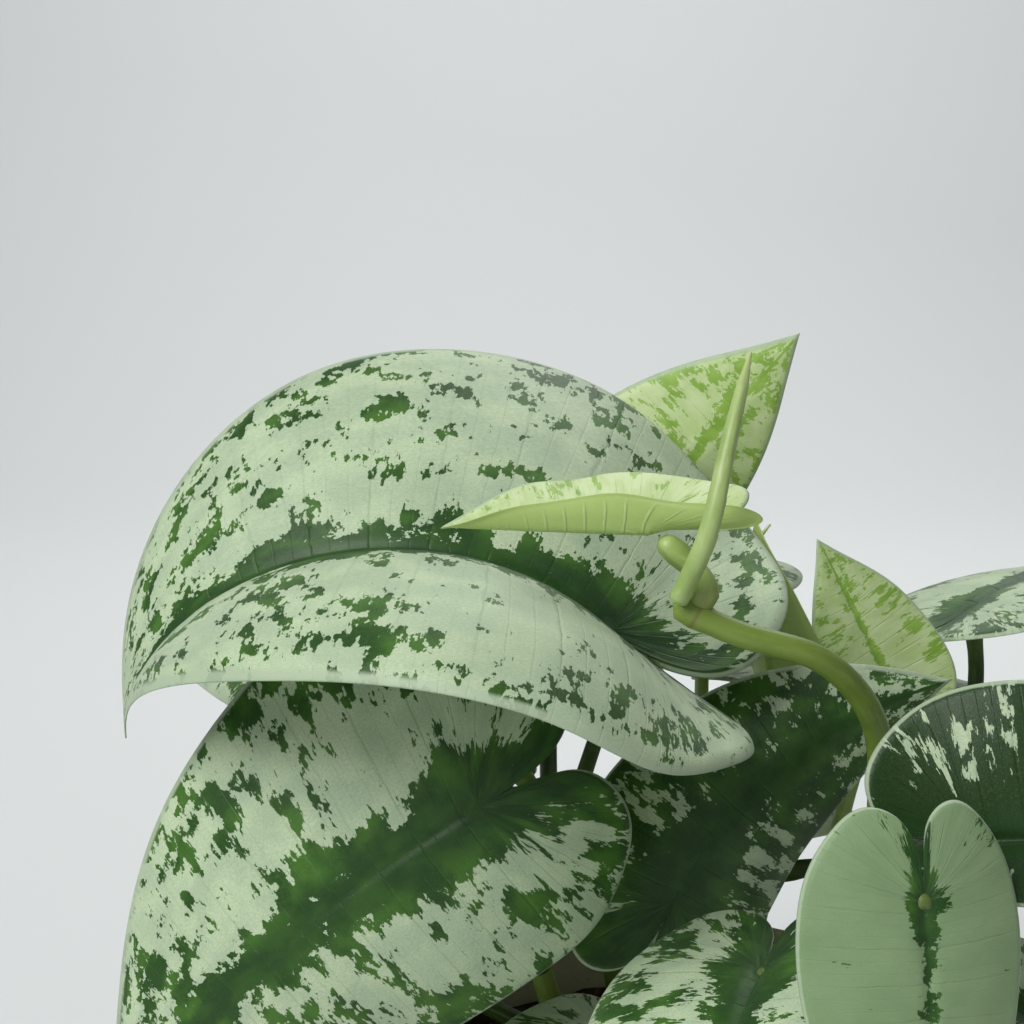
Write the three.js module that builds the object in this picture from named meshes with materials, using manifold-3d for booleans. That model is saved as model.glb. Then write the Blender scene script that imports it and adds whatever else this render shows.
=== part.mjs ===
// A satin pothos (Scindapsus pictus) growing in a plain round pot.
// Millimetres, +Z up. The origin is the centre of the pot's flat underside.
//
// Every leaf is one closed body, as it grows: blade and petiole together. Its surface is a stack of
// rings: one point on top of the blade where the petiole joins, rings that widen to the margin,
// rings that narrow again on the underside, then rings down the petiole to its foot on a stem.
// Stems, shoots and the turned pot and potting mix are stacks of rings too.

import * as THREE from "three";
import Module from "manifold-3d";

// ---- Driving dimensions ----

const POT_RIM_DIAMETER = 150; // outside, at the top
const POT_FOOT_DIAMETER = 110; // outside, at the underside
const POT_HEIGHT = 125;
const POT_WALL = 4;
const POT_FLOOR = 5;
const COLLAR_HEIGHT = 20; // the thicker band round the rim
const COLLAR_STEP = 3; // how far the band stands out from the wall
const EDGE_BREAK = 1.2; // chamfer on the pot's edges
const DRAIN_HOLE_DIAMETER = 9;
const DRAIN_HOLE_COUNT = 5;
const DRAIN_CIRCLE_DIAMETER = 64;
const HOLE_OVERRUN = 1; // how far a hole's cutter runs past the floor
const MIX_BELOW_RIM = 14; // headspace for watering
const MIX_CROWN = 4; // rise of the potting mix from the wall to the middle
const MIX_SHOULDER = [0.7, 0.55]; // bend in its surface: share of the radius, share of the rise
const CLEARANCE = 0.4; // gap between separate pieces that touch

const GROWTH = 1; // size of the plant for its pot: every place, length and thickness follows it
const BLADE_THICKNESS = 0.9;
const MARGIN_THICKNESS = 0.6;
const PETIOLE_RADIUS = 2.2; // where it joins the blade
const PETIOLE_FOOT_RADIUS = 2.7; // where it leaves the stem
const STEM_RADIUS = 2.8;
const STEM_END_ROUND = 0.4; // how far a stem's ends bulge, as a share of its radius
const STEM_TAPER = [1.06, 0.86]; // share of the stem's radius at its foot and at its end
const STEM_FOOT_LIFT = 0.45; // room under the middle of a stem's slanted foot, as a share of its radius

// ---- Colours and finishes ----

const VARIEGATED = 0x8ba67c;
const SILVER = 0x93ab90;
const YOUNG = 0xa9c473;
const STEM_COLOUR = 0x6f8a3c;
const SHOOT_COLOUR = 0xa2b671;
const POT_COLOUR = 0xd9cfbd;
const MIX_COLOUR = 0x3b2a1e;
const LEAF_ROUGHNESS = 0.45;
const STEM_ROUGHNESS = 0.5;
const POT_ROUGHNESS = 0.7;
const MIX_ROUGHNESS = 1;

// ---- Mesh resolution ----

const POT_SEGMENTS = 48;
const HOLE_SEGMENTS = 20;
const TUBE_SIDES = 8;
const PETIOLE_STEPS = 5;
const MIDRIB_STEPS = 40;
const NEARLY_UPRIGHT = 0.9; // a tube that sets off this steeply starts its rings from +X, not +Z

// ---- Shape of a leaf blade ----

// Right half of the heart-shaped outline as shares of the blade's length, from the tip round the
// basal lobe to the notch: distance ahead of the petiole, distance from the midrib.
const OUTLINE = [
  [1, 0],
  [0.865, 0.115],
  [0.71, 0.255],
  [0.51, 0.395],
  [0.3, 0.48],
  [0.1, 0.505],
  [-0.08, 0.46],
  [-0.2, 0.345],
  [-0.262, 0.195],
  [-0.2, 0.04],
  [-0.052, 0],
];
const WIDEST = 0.5; // greatest half width in OUTLINE
const LOBE_REACH = 0.26; // how far the lobes reach behind the petiole in OUTLINE
const BLADE_RINGS = [0.34, 0.69, 1]; // share of the way from the petiole to the margin
const NECK_ROOM = 0.6; // room between the blade's underside and the edge of the petiole's first ring
const PETIOLE_BOW = 0.36; // reach of the petiole's two control points, as a share of its span
const FOOT_CLIMB = 0.8; // how far a petiole leaves along its stem for each unit outwards
const FOOT_ROUND = 0.3; // how far the foot's end bulges, as a share of its radius
const RIPPLE_TURN = 9; // angle of the margin's ripple over one blade length, in radians
const RIPPLE_OFFSET = 2; // how far the right margin's ripple is out of step with the left's

// ---- Frame of the plant ----

const REFERENCE_RIM_RADIUS = 75; // the rim radius that the places below are given for
const scale = (GROWTH * POT_RIM_DIAMETER) / 2 / REFERENCE_RIM_RADIUS;
const mixLevel = POT_HEIGHT - MIX_BELOW_RIM;
const rimRadius = POT_RIM_DIAMETER / 2;
const footRadius = POT_FOOT_DIAMETER / 2;
const wallTopRadius = rimRadius - COLLAR_STEP;
const collarFoot = POT_HEIGHT - COLLAR_HEIGHT;
const rad = THREE.MathUtils.degToRad;
const lerp = THREE.MathUtils.lerp;

// Outside and inside radius of the pot's tapered wall at a height above the table.
const wallRadius = (z) => lerp(footRadius, wallTopRadius, z / collarFoot);
const insideRadius = (z) => wallRadius(z) - POT_WALL;

// Top of the potting mix as [radius, height], from its middle out to the wall.
const mixTop = [
  [0, mixLevel],
  [MIX_SHOULDER[0] * insideRadius(collarFoot), mixLevel - (1 - MIX_SHOULDER[1]) * MIX_CROWN],
  [insideRadius(collarFoot) - CLEARANCE, mixLevel - MIX_CROWN],
];

// Height of the mix's surface at a distance from its middle.
function mixHeight(radius) {
  const k = radius < mixTop[1][0] ? 0 : 1;
  const [[r0, z0], [r1, z1]] = [mixTop[k], mixTop[k + 1]];
  return lerp(z0, z1, (radius - r0) / (r1 - r0));
}

// A place on the plant, given from the middle of the mix's surface in reference millimetres.
const place = ([x, y, z]) => new THREE.Vector3(x * scale, y * scale, mixLevel + z * scale);

// ---- Surfaces made of rings ----

// Closed body from a first point, rings of points that all turn the same way, and a last point.
// Neighbouring rings may have different numbers of points.
function loft(first, rings, last) {
  const points = [first, ...rings.flat(), last];
  const faces = [];
  const starts = [];
  let next = 1;
  for (const ring of rings) {
    starts.push(next);
    next += ring.length;
  }
  const final = points.length - 1;
  const head = rings[0].length;
  for (let i = 0; i < head; i += 1) {
    faces.push([0, 1 + i, 1 + ((i + 1) % head)]);
  }
  for (let k = 0; k + 1 < rings.length; k += 1) {
    joinRings(faces, points, starts[k], rings[k].length, starts[k + 1], rings[k + 1].length);
  }
  const tail = rings[rings.length - 1].length;
  const from = starts[rings.length - 1];
  for (let i = 0; i < tail; i += 1) {
    faces.push([final, from + ((i + 1) % tail), from + i]);
  }
  return closedGeometry(points, faces);
}

// Band of triangles between two rings. Equal rings take the shorter diagonal of each quad.
function joinRings(faces, points, a, countA, b, countB) {
  let i = 0;
  let j = 0;
  while (i < countA || j < countB) {
    const a0 = a + (i % countA);
    const a1 = a + ((i + 1) % countA);
    const b0 = b + (j % countB);
    const b1 = b + ((j + 1) % countB);
    if (countA === countB) {
      if (points[a0].distanceTo(points[b1]) < points[a1].distanceTo(points[b0])) {
        faces.push([a0, b0, b1], [a0, b1, a1]);
      } else {
        faces.push([a0, b0, a1], [a1, b0, b1]);
      }
      i += 1;
      j += 1;
    } else if (j >= countB || (i < countA && (i + 1) / countA <= (j + 1) / countB)) {
      faces.push([a0, b0, a1]);
      i += 1;
    } else {
      faces.push([a0, b0, b1]);
      j += 1;
    }
  }
}

// Geometry whose faces look outward, whichever way the rings turned.
function closedGeometry(points, faces) {
  let volume = 0;
  for (const [a, b, c] of faces) {
    volume += points[a].dot(new THREE.Vector3().crossVectors(points[b], points[c]));
  }
  const index = faces.flatMap(([a, b, c]) => (volume < 0 ? [a, c, b] : [a, b, c]));
  const geometry = new THREE.BufferGeometry();
  const flat = points.flatMap((p) => [p.x, p.y, p.z]);
  geometry.setAttribute("position", new THREE.Float32BufferAttribute(flat, 3));
  geometry.setIndex(index);
  return geometry;
}

// Body turned about the Z axis from a profile of [radius, height] whose two ends are on the axis.
function turned(profile, segments, cx = 0, cy = 0) {
  const onAxis = ([, z]) => new THREE.Vector3(cx, cy, z);
  const rings = profile.slice(1, -1).map(([r, z]) => {
    const ring = [];
    for (let i = 0; i < segments; i += 1) {
      const a = (i / segments) * Math.PI * 2;
      ring.push(new THREE.Vector3(cx + r * Math.cos(a), cy + r * Math.sin(a), z));
    }
    return ring;
  });
  return loft(onAxis(profile[0]), rings, onAxis(profile[profile.length - 1]));
}

// Rings along a centre line of { at, along } stations. `side` is where the first point of the
// first ring lies; it is carried along the line without twisting. `radius` is given per station.
function tubeRings(stations, side, radius) {
  const rings = [];
  let lead = side.clone();
  for (let k = 0; k < stations.length; k += 1) {
    const { at, along } = stations[k];
    lead = lead.clone().addScaledVector(along, -lead.dot(along)).normalize();
    const other = new THREE.Vector3().crossVectors(along, lead);
    const ring = [];
    for (let i = 0; i < TUBE_SIDES; i += 1) {
      const a = (i / TUBE_SIDES) * Math.PI * 2;
      const r = radius(k / (stations.length - 1));
      ring.push(at.clone().addScaledVector(lead, r * Math.cos(a)).addScaledVector(other, r * Math.sin(a)));
    }
    rings.push(ring);
  }
  return rings;
}

// Tube along a curve, rounded a little at both ends.
function tube(curve, steps, radius, endRound) {
  const stations = [];
  for (let k = 0; k <= steps; k += 1) {
    stations.push({ at: curve.getPointAt(k / steps), along: curve.getTangentAt(k / steps) });
  }
  const start = stations[0];
  const end = stations[steps];
  const upright = Math.abs(start.along.z) > NEARLY_UPRIGHT;
  const side = upright ? new THREE.Vector3(1, 0, 0) : new THREE.Vector3(0, 0, 1);
  const rings = tubeRings(stations, side, radius);
  const first = start.at.clone().addScaledVector(start.along, -endRound);
  const last = end.at.clone().addScaledVector(end.along, endRound);
  return loft(first, rings, last);
}

// ---- Stems ----

// Centre lines outward from the stem's foot, which stands on the mix at [x, y]. `steps` is the
// number of tube sections.
const STEMS = {
  stem_front: {
    line: [
      [24, -14], [32, -26, 26], [37, -44, 62], [36, -60, 96], [32, -70, 119], [20, -79, 134],
      [1, -82, 141], [-7, -81, 145],
    ],
    steps: 14,
  },
  stem_left: { line: [[-20, -8], [-27, -12, 24], [-33, -14, 50], [-34, -12, 74]], steps: 7 },
  stem_middle: { line: [[2, -2], [5, -2, 24], [4, 2, 50], [8, 8, 78]], steps: 7 },
  stem_right: { line: [[34, 12], [44, 16, 22], [58, 16, 44], [74, 10, 58]], steps: 7 },
  stem_back: { line: [[-8, 30], [-14, 42, 24], [-24, 50, 48], [-38, 54, 66]], steps: 7 },
  stem_back_right: { line: [[20, 34], [26, 44, 24], [34, 50, 48], [44, 54, 64]], steps: 7 },
};

function stemFoot([x, y]) {
  const foot = place([x, y, 0]);
  foot.z = mixHeight(Math.hypot(foot.x, foot.y)) + CLEARANCE + STEM_FOOT_LIFT * STEM_RADIUS * scale;
  return foot;
}

const stemCurves = {};
for (const [name, stem] of Object.entries(STEMS)) {
  const [foot, ...rest] = stem.line;
  const points = [stemFoot(foot), ...rest.map(place)];
  stemCurves[name] = new THREE.CatmullRomCurve3(points, false, "centripetal");
}
const stemRadius = (t) => STEM_RADIUS * scale * lerp(...STEM_TAPER, t);

// ---- Leaves ----

// Each leaf: `at` is where petiole and blade meet. The blade sets off towards `heading` (degrees
// round from +X) climbing at `pitch`, with its right half raised by `roll`. Over its length it
// droops by `arch`, turns right by `sway` and its right half rises by `twist`. The halves stand
// up from the midrib by `fold` at the petiole and `foldTip` at the tip, and bend up across their
// width by `curl`, which is never 0. `tuck` bends the basal lobes up. These and `width` are given
// as [left, right]. `lobe` lengthens the basal lobes. `wave` is the ripple of the margin as a share
// of length.
// `stem` and `station` say where along which stem the petiole grows, and `lean` how far its top
// runs along under the blade (degrees from square).
const LEAVES = [
  {
    name: "leaf_great", stem: "stem_left", station: 0.92, at: [-18, -47, 131], length: 133,
    width: [0.88, 1.03], heading: 186, pitch: 44, roll: 34, arch: 112, sway: -40, twist: 6,
    fold: [46, 10], foldTip: [26, 18], curl: [-42, -22], tuck: [20, 50], lean: -10,
  },
  {
    name: "leaf_front_left", stem: "stem_left", station: 0.6, at: [-45, -61, 98], length: 110,
    width: [0.8, 0.92], heading: 186, pitch: -30, roll: 60, arch: 26, sway: -16,
    fold: [-16, 14], foldTip: [-8, -4], curl: [-48, -20], tuck: [-20, -20], lean: 40,
  },
  {
    name: "leaf_front_middle", stem: "stem_middle", station: 0.55, at: [-3, -37, 67], length: 80,
    width: [0.7, 0.74], heading: 5, pitch: 64, roll: -84, arch: 10, sway: 50,
    fold: [-10, -6], foldTip: [-14, -20], curl: [-30, -50], lean: 40,
  },
  {
    name: "leaf_front_low", stem: "stem_front", station: 0.18, at: [10, -80, 72], length: 84,
    width: [0.55, 0.9], heading: 246, pitch: -10, roll: -12, arch: 50,
    fold: [14, 10], curl: [-30, -40], tuck: [0, 0], lean: 10,
  },
  {
    name: "leaf_silver", tone: SILVER, stem: "stem_front", station: 0.45,
    at: [34.6, -108, 98.5], length: 66,
    width: [0.6, 0.7], heading: 280, pitch: -75, roll: 0, arch: 6,
    fold: [4, 4], curl: [-30, -30], tuck: [-10, -20], lean: 0,
  },
  {
    name: "leaf_right_dark", stem: "stem_right", station: 0.55, at: [48.7, -86, 101], length: 74,
    width: [0.8, 0.4], heading: 344, pitch: 8, roll: -74, arch: 40,
    fold: [4, 66], curl: [-20, -30], tuck: [20, 0], lean: 10,
  },
  {
    name: "leaf_right_edge", stem: "stem_right", station: 0.8, at: [92, -34, 106], length: 76,
    heading: 336, pitch: 16, roll: -6, arch: 60, lean: 20,
  },
  {
    name: "leaf_lime", tone: YOUNG, stem: "stem_right", station: 0.25, at: [51, -4, 103], length: 42,
    width: [0.75, 0.75], heading: 180, pitch: 62, roll: 70, arch: 0,
    fold: [10, 10], curl: [-10, -10], tuck: [0, 0], lean: 20,
  },
  {
    name: "leaf_back_right", stem: "stem_right", station: 0.9, at: [76, 34, 114], length: 84,
    heading: 34, pitch: 24, roll: 16, arch: 60, lean: 20,
  },
  {
    name: "leaf_upright", tone: YOUNG, stem: "stem_back_right", station: 0.72,
    at: [-16.5, 22, 128.5], length: 72,
    width: [0.8, 0.58], heading: 0, pitch: 50, roll: -76, arch: -6,
    fold: [0, -30], foldTip: [0, -10], curl: [-10, -20], lean: 30,
  },
  {
    name: "leaf_pale", tone: YOUNG, stem: "stem_middle", station: 0.75, at: [23, -4, 98], length: 46,
    width: [0.8, 0.8], heading: 140, pitch: 80, roll: -64, arch: -4, lean: 30,
    curl: [20, 20],
  },
  {
    name: "leaf_left_high", stem: "stem_left", station: 0.98, at: [-52, 14, 104], length: 84,
    heading: 160, pitch: 22, roll: 10, arch: 62, lean: 20,
  },
  {
    name: "leaf_left_low", stem: "stem_left", station: 0.3, at: [-68, 0, 44], length: 92,
    heading: 182, pitch: -12, roll: 0, arch: 50, lean: 20,
  },
  {
    name: "leaf_back_left", stem: "stem_back", station: 0.95, at: [-44, 74, 84], length: 96,
    heading: 122, pitch: 4, roll: -6, arch: 60, lean: 20,
  },
  {
    name: "leaf_back_low_left", stem: "stem_back", station: 0.45, at: [-48, 66, 36], length: 86,
    heading: 132, pitch: -10, roll: 0, arch: 50, lean: 20,
  },
  {
    name: "leaf_back_middle", stem: "stem_back", station: 0.75, at: [-8, 62, 116], length: 96,
    heading: 90, pitch: 12, roll: 0, arch: 70, lean: 20,
  },
  {
    name: "leaf_back_low", stem: "stem_back_right", station: 0.35, at: [14, 80, 44], length: 86,
    heading: 84, pitch: -14, roll: 0, arch: 50, lean: 20,
  },
  {
    name: "leaf_back_corner", stem: "stem_back_right", station: 0.9, at: [50, 70, 84], length: 92,
    heading: 52, pitch: 2, roll: 4, arch: 60, lean: 20,
  },
  {
    name: "leaf_right_high", stem: "stem_right", station: 0.98, at: [98, 4, 70], length: 84,
    heading: 2, pitch: 2, roll: 0, arch: 60, lean: 20,
  },
  {
    name: "leaf_right_low", stem: "stem_right", station: 0.3, at: [78, -34, 38], length: 86,
    heading: 334, pitch: -14, roll: 0, arch: 50, lean: 20,
  },
  {
    name: "leaf_right_back_low", stem: "stem_back_right", station: 0.6, at: [83, 54, 40], length: 86,
    heading: 30, pitch: -14, roll: 0, arch: 50, lean: 20,
  },
  {
    name: "leaf_unrolling", tone: YOUNG, stem: "stem_front", station: 0.985,
    at: [-13, -79, 159.5], length: 38, lobe: 2.1,
    width: [0.32, 1], heading: 186, pitch: 2, roll: 0, arch: 0,
    fold: [40, 34], foldTip: [50, 30], curl: [130, -24], wave: 0.02, tuck: [0, 15], lean: 50,
  },
  {
    name: "leaf_inner_low", stem: "stem_left", station: 0.22, at: [-14, -40, 34], length: 60,
    heading: 256, pitch: -6, roll: 0, arch: 40, lean: 10,
  },
];

const defaults = {
  tone: VARIEGATED,
  width: [1, 1], lobe: 1, arch: 40, sway: 0, twist: 0, fold: [12, 12], foldTip: [0, 0], curl: [-28, -28],
  wave: 0.012, tuck: [15, 15], lean: 30,
};

// Midrib of a blade: its place and its forward, up and right directions at `s` millimetres ahead
// of the petiole. Behind the petiole it is carried on backwards, rising by `tuck`.
function midribOf(leaf, start) {
  const length = leaf.length * scale;
  const heading = rad(leaf.heading);
  const pitch = rad(leaf.pitch);
  let forward = new THREE.Vector3(
    Math.cos(pitch) * Math.cos(heading),
    Math.cos(pitch) * Math.sin(heading),
    Math.sin(pitch),
  );
  let up = new THREE.Vector3(
    -Math.sin(pitch) * Math.cos(heading),
    -Math.sin(pitch) * Math.sin(heading),
    Math.cos(pitch),
  );
  up.applyAxisAngle(forward, -rad(leaf.roll));
  let right = new THREE.Vector3().crossVectors(forward, up);
  let at = start.clone();
  const stations = [{ at, forward, up, right }];
  const step = length / MIDRIB_STEPS;
  for (let k = 0; k < MIDRIB_STEPS; k += 1) {
    forward = forward.clone().applyAxisAngle(right, -rad(leaf.arch) / MIDRIB_STEPS);
    forward.applyAxisAngle(up, -rad(leaf.sway) / MIDRIB_STEPS).normalize();
    up = up.clone().addScaledVector(forward, -up.dot(forward)).normalize();
    up.applyAxisAngle(forward, -rad(leaf.twist) / MIDRIB_STEPS);
    right = new THREE.Vector3().crossVectors(forward, up);
    at = at.clone().addScaledVector(forward, step);
    stations.push({ at, forward, up, right });
  }
  return (s, half) => {
    if (s <= 0) {
      const { at: origin, forward: f, up: u, right: r } = stations[0];
      const angle = (rad(leaf.tuck[half]) * -s) / (LOBE_REACH * leaf.lobe * length);
      const back = angle === 0 ? s : (s * Math.sin(angle)) / angle;
      const rise = angle === 0 ? 0 : (-s * (1 - Math.cos(angle))) / angle;
      return {
        at: origin.clone().addScaledVector(f, back).addScaledVector(u, rise),
        forward: f.clone().multiplyScalar(Math.cos(angle)).addScaledVector(u, -Math.sin(angle)),
        up: u.clone().multiplyScalar(Math.cos(angle)).addScaledVector(f, Math.sin(angle)),
        right: r,
      };
    }
    const share = Math.min(s / step, MIDRIB_STEPS - 1e-9);
    const k = Math.floor(share);
    const t = share - k;
    const a = stations[k];
    const b = stations[k + 1];
    return {
      at: a.at.clone().lerp(b.at, t),
      forward: a.forward.clone().lerp(b.forward, t).normalize(),
      up: a.up.clone().lerp(b.up, t).normalize(),
      right: a.right.clone().lerp(b.right, t).normalize(),
    };
  };
}

// Point of the bent blade for a place on the flat one: `ahead` along the midrib and `aside` to its
// right (negative to its left), in millimetres, lowered by `depth` into the blade.
function bladePoint(leaf, midrib, ahead, aside, depth) {
  const length = leaf.length * scale;
  const half = aside < 0 ? 0 : 1;
  const reach = Math.abs(aside);
  const forwardShare = THREE.MathUtils.clamp(ahead / length, 0, 1);
  const start = rad(lerp(leaf.fold[half], leaf.foldTip[half], forwardShare));
  const halfWidth = WIDEST * leaf.width[half] * length;
  const bend = rad(leaf.curl[half]) / halfWidth;
  const angle = start + bend * reach;
  const across = (Math.sin(angle) - Math.sin(start)) / bend;
  const rise = (Math.cos(start) - Math.cos(angle)) / bend;
  const { at, up, right } = midrib(ahead, half);
  const outward = half === 0 ? right.clone().negate() : right;
  const edge = Math.min(1, reach / halfWidth);
  const phase = RIPPLE_TURN * (ahead / length) + RIPPLE_OFFSET * half;
  const ripple = leaf.wave * length * edge * edge * Math.sin(phase);
  return at
    .addScaledVector(outward, across + Math.sin(angle) * depth)
    .addScaledVector(up, rise + ripple - Math.cos(angle) * depth);
}

function leafGeometry(leaf) {
  const length = leaf.length * scale;
  const start = place(leaf.at);
  const midrib = midribOf(leaf, start);
  const spokes = [...OUTLINE, ...OUTLINE.slice(1, -1).reverse().map(([x, y]) => [x, -y])];
  const bladeRing = (share, depth) =>
    spokes.map(([x, y]) => {
      const ahead = x < 0 ? x * leaf.lobe : x;
      const aside = y * leaf.width[y < 0 ? 0 : 1];
      return bladePoint(leaf, midrib, ahead * length * share, aside * length * share, depth);
    });
  const top = BLADE_RINGS.map((share) => bladeRing(share, 0));
  const under = BLADE_RINGS.map((share) =>
    bladeRing(share, scale * lerp(BLADE_THICKNESS, MARGIN_THICKNESS, share)),
  ).reverse();

  const { forward, up, right } = midrib(0, 0);
  const lean = rad(leaf.lean);
  const arrival = up.clone().applyAxisAngle(right, -lean);
  const depth = BLADE_THICKNESS + NECK_ROOM + PETIOLE_RADIUS * Math.abs(Math.sin(lean));
  const neck = start.clone().addScaledVector(arrival, (-depth / Math.cos(lean)) * scale);
  const stem = stemCurves[leaf.stem];
  const onStem = stem.getPointAt(leaf.station);
  const stemAlong = stem.getTangentAt(leaf.station);
  const outward = neck.clone().sub(onStem);
  outward.addScaledVector(stemAlong, -outward.dot(stemAlong)).normalize();
  const thickness = PETIOLE_FOOT_RADIUS * scale;
  const footSetOff = outward.clone().addScaledVector(stemAlong, FOOT_CLIMB).normalize();
  const footEdge = thickness * (FOOT_CLIMB / Math.hypot(1, FOOT_CLIMB));
  const footGap = stemRadius(leaf.station) + footEdge + CLEARANCE;
  const foot = onStem.clone().addScaledVector(outward, footGap);
  const span = foot.distanceTo(neck);
  const curve = new THREE.CubicBezierCurve3(
    neck,
    neck.clone().addScaledVector(arrival, -PETIOLE_BOW * span),
    foot.clone().addScaledVector(footSetOff, PETIOLE_BOW * span),
    foot,
  );
  const stations = [];
  for (let k = 0; k <= PETIOLE_STEPS; k += 1) {
    const t = k / PETIOLE_STEPS;
    stations.push({ at: curve.getPointAt(t), along: curve.getTangentAt(t) });
  }
  const petiole = tubeRings(stations, forward, (t) =>
    scale * lerp(PETIOLE_RADIUS, PETIOLE_FOOT_RADIUS, t * t),
  );
  const last = foot.clone().addScaledVector(footSetOff, -FOOT_ROUND * thickness);
  return loft(start, [...top, ...under, ...petiole], last);
}

// ---- Shoots: young leaves still rolled up ----

const SHOOTS = {
  shoot_tip: { line: [[-7.6, -84.4, 147.3], [-3, -88, 160], [1.5, -82, 177], [6, -72, 191]], radius: 2.1 },
  shoot_inner: { line: [[8, 8, 79.7], [7, 8, 100], [9, 9, 122], [22, 8, 141]], radius: 2 },
};
const SHOOT_STEPS = 7;
const SHOOT_TIP = 0.12; // blunt tip, as a share of the shoot's radius
const SHOOT_SWELL = 0.5; // how much it swells above its foot

// A shoot swells a little above its foot and narrows to a blunt tip.
function shootRadius(shoot) {
  const body = (t) => Math.sqrt(1 - t) * (1 - SHOOT_TIP + SHOOT_SWELL * t);
  return (t) => shoot.radius * scale * (SHOOT_TIP + (1 - SHOOT_TIP) * body(t));
}

const plant = new THREE.Group();
plant.name = "potted_pothos";

function add(name, geometry, color, roughness) {
  const material = new THREE.MeshStandardMaterial({ color, roughness, metalness: 0 });
  const mesh = new THREE.Mesh(geometry, material);
  mesh.name = name;
  plant.add(mesh);
}

for (const entry of LEAVES) {
  const leaf = { ...defaults, ...entry };
  add(leaf.name, leafGeometry(leaf), leaf.tone, LEAF_ROUGHNESS);
}

for (const [name, stem] of Object.entries(STEMS)) {
  const shaft = tube(stemCurves[name], stem.steps, stemRadius, STEM_END_ROUND * STEM_RADIUS * scale);
  add(name, shaft, STEM_COLOUR, STEM_ROUGHNESS);
}

for (const [name, shoot] of Object.entries(SHOOTS)) {
  const line = new THREE.CatmullRomCurve3(shoot.line.map(place), false, "centripetal");
  const roll = tube(line, SHOOT_STEPS, shootRadius(shoot), SHOOT_TIP * shoot.radius * scale);
  add(name, roll, SHOOT_COLOUR, STEM_ROUGHNESS);
}

// ---- Pot and potting mix ----

const wasm = await Module();
wasm.setup();

function toManifold(geometry) {
  return new wasm.Manifold(
    new wasm.Mesh({
      numProp: 3,
      vertProperties: new Float32Array(geometry.attributes.position.array),
      triVerts: new Uint32Array(geometry.index.array),
    }),
  );
}

function fromManifold(solid) {
  const { numProp, vertProperties, triVerts } = solid.getMesh();
  const flat = [];
  for (let i = 0; i < vertProperties.length; i += numProp) {
    flat.push(vertProperties[i], vertProperties[i + 1], vertProperties[i + 2]);
  }
  const geometry = new THREE.BufferGeometry();
  geometry.setAttribute("position", new THREE.Float32BufferAttribute(flat, 3));
  geometry.setIndex(Array.from(triVerts));
  return geometry;
}

let pot = toManifold(
  turned(
    [
      [0, 0],
      [footRadius - EDGE_BREAK, 0],
      [wallRadius(EDGE_BREAK), EDGE_BREAK],
      [wallRadius(collarFoot), collarFoot],
      [rimRadius, collarFoot + EDGE_BREAK],
      [rimRadius, POT_HEIGHT - EDGE_BREAK],
      [rimRadius - EDGE_BREAK, POT_HEIGHT],
      [insideRadius(collarFoot) + EDGE_BREAK, POT_HEIGHT],
      [insideRadius(collarFoot), POT_HEIGHT - EDGE_BREAK],
      [insideRadius(collarFoot), collarFoot],
      [insideRadius(POT_FLOOR), POT_FLOOR],
      [0, POT_FLOOR],
    ],
    POT_SEGMENTS,
  ),
);
for (let i = 0; i < DRAIN_HOLE_COUNT; i += 1) {
  const a = (i / DRAIN_HOLE_COUNT) * Math.PI * 2;
  const r = DRAIN_HOLE_DIAMETER / 2;
  const above = POT_FLOOR + HOLE_OVERRUN;
  const profile = [[0, -HOLE_OVERRUN], [r, -HOLE_OVERRUN], [r, above], [0, above]];
  const x = (DRAIN_CIRCLE_DIAMETER / 2) * Math.cos(a);
  const y = (DRAIN_CIRCLE_DIAMETER / 2) * Math.sin(a);
  pot = pot.subtract(toManifold(turned(profile, HOLE_SEGMENTS, x, y)));
}
add("pot", fromManifold(pot), POT_COLOUR, POT_ROUGHNESS);

const mixBottom = POT_FLOOR + CLEARANCE;
add(
  "potting_mix",
  turned(
    [
      [0, mixBottom],
      [insideRadius(mixBottom) - CLEARANCE, mixBottom],
      [insideRadius(collarFoot) - CLEARANCE, collarFoot],
      ...mixTop.slice().reverse(),
    ],
    POT_SEGMENTS,
  ),
  MIX_COLOUR,
  MIX_ROUGHNESS,
);

export default plant;
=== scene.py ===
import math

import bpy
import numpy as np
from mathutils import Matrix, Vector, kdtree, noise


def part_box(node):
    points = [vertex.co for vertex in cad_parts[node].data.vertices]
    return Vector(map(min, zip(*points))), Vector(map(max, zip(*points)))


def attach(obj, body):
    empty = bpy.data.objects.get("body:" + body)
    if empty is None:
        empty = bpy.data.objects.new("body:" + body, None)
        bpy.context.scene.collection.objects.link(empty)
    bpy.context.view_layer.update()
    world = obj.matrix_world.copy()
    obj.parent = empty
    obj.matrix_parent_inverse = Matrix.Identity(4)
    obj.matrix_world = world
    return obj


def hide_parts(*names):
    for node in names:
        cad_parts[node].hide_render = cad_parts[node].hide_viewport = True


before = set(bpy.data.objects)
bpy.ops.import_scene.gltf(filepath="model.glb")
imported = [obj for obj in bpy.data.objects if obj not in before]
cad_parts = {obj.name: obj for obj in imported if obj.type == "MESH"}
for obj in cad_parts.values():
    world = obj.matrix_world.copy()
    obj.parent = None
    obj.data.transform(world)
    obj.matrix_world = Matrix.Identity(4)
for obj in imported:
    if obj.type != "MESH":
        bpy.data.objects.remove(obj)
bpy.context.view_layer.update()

# A satin pothos in a plain pot. Metres, +Z up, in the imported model's own frame.
#
# Each leaf's bent surface is read back from its CAD node, ring by ring, and drawn again as a fine
# blade with a rim, a keel and quilted veins, and a petiole. Its colours lie in the flat leaf's own
# coordinates, so the splashes of silver follow the veins however the blade bends.

BODY = "root"
MM = 0.001

# ---- The flat leaf ----

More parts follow.
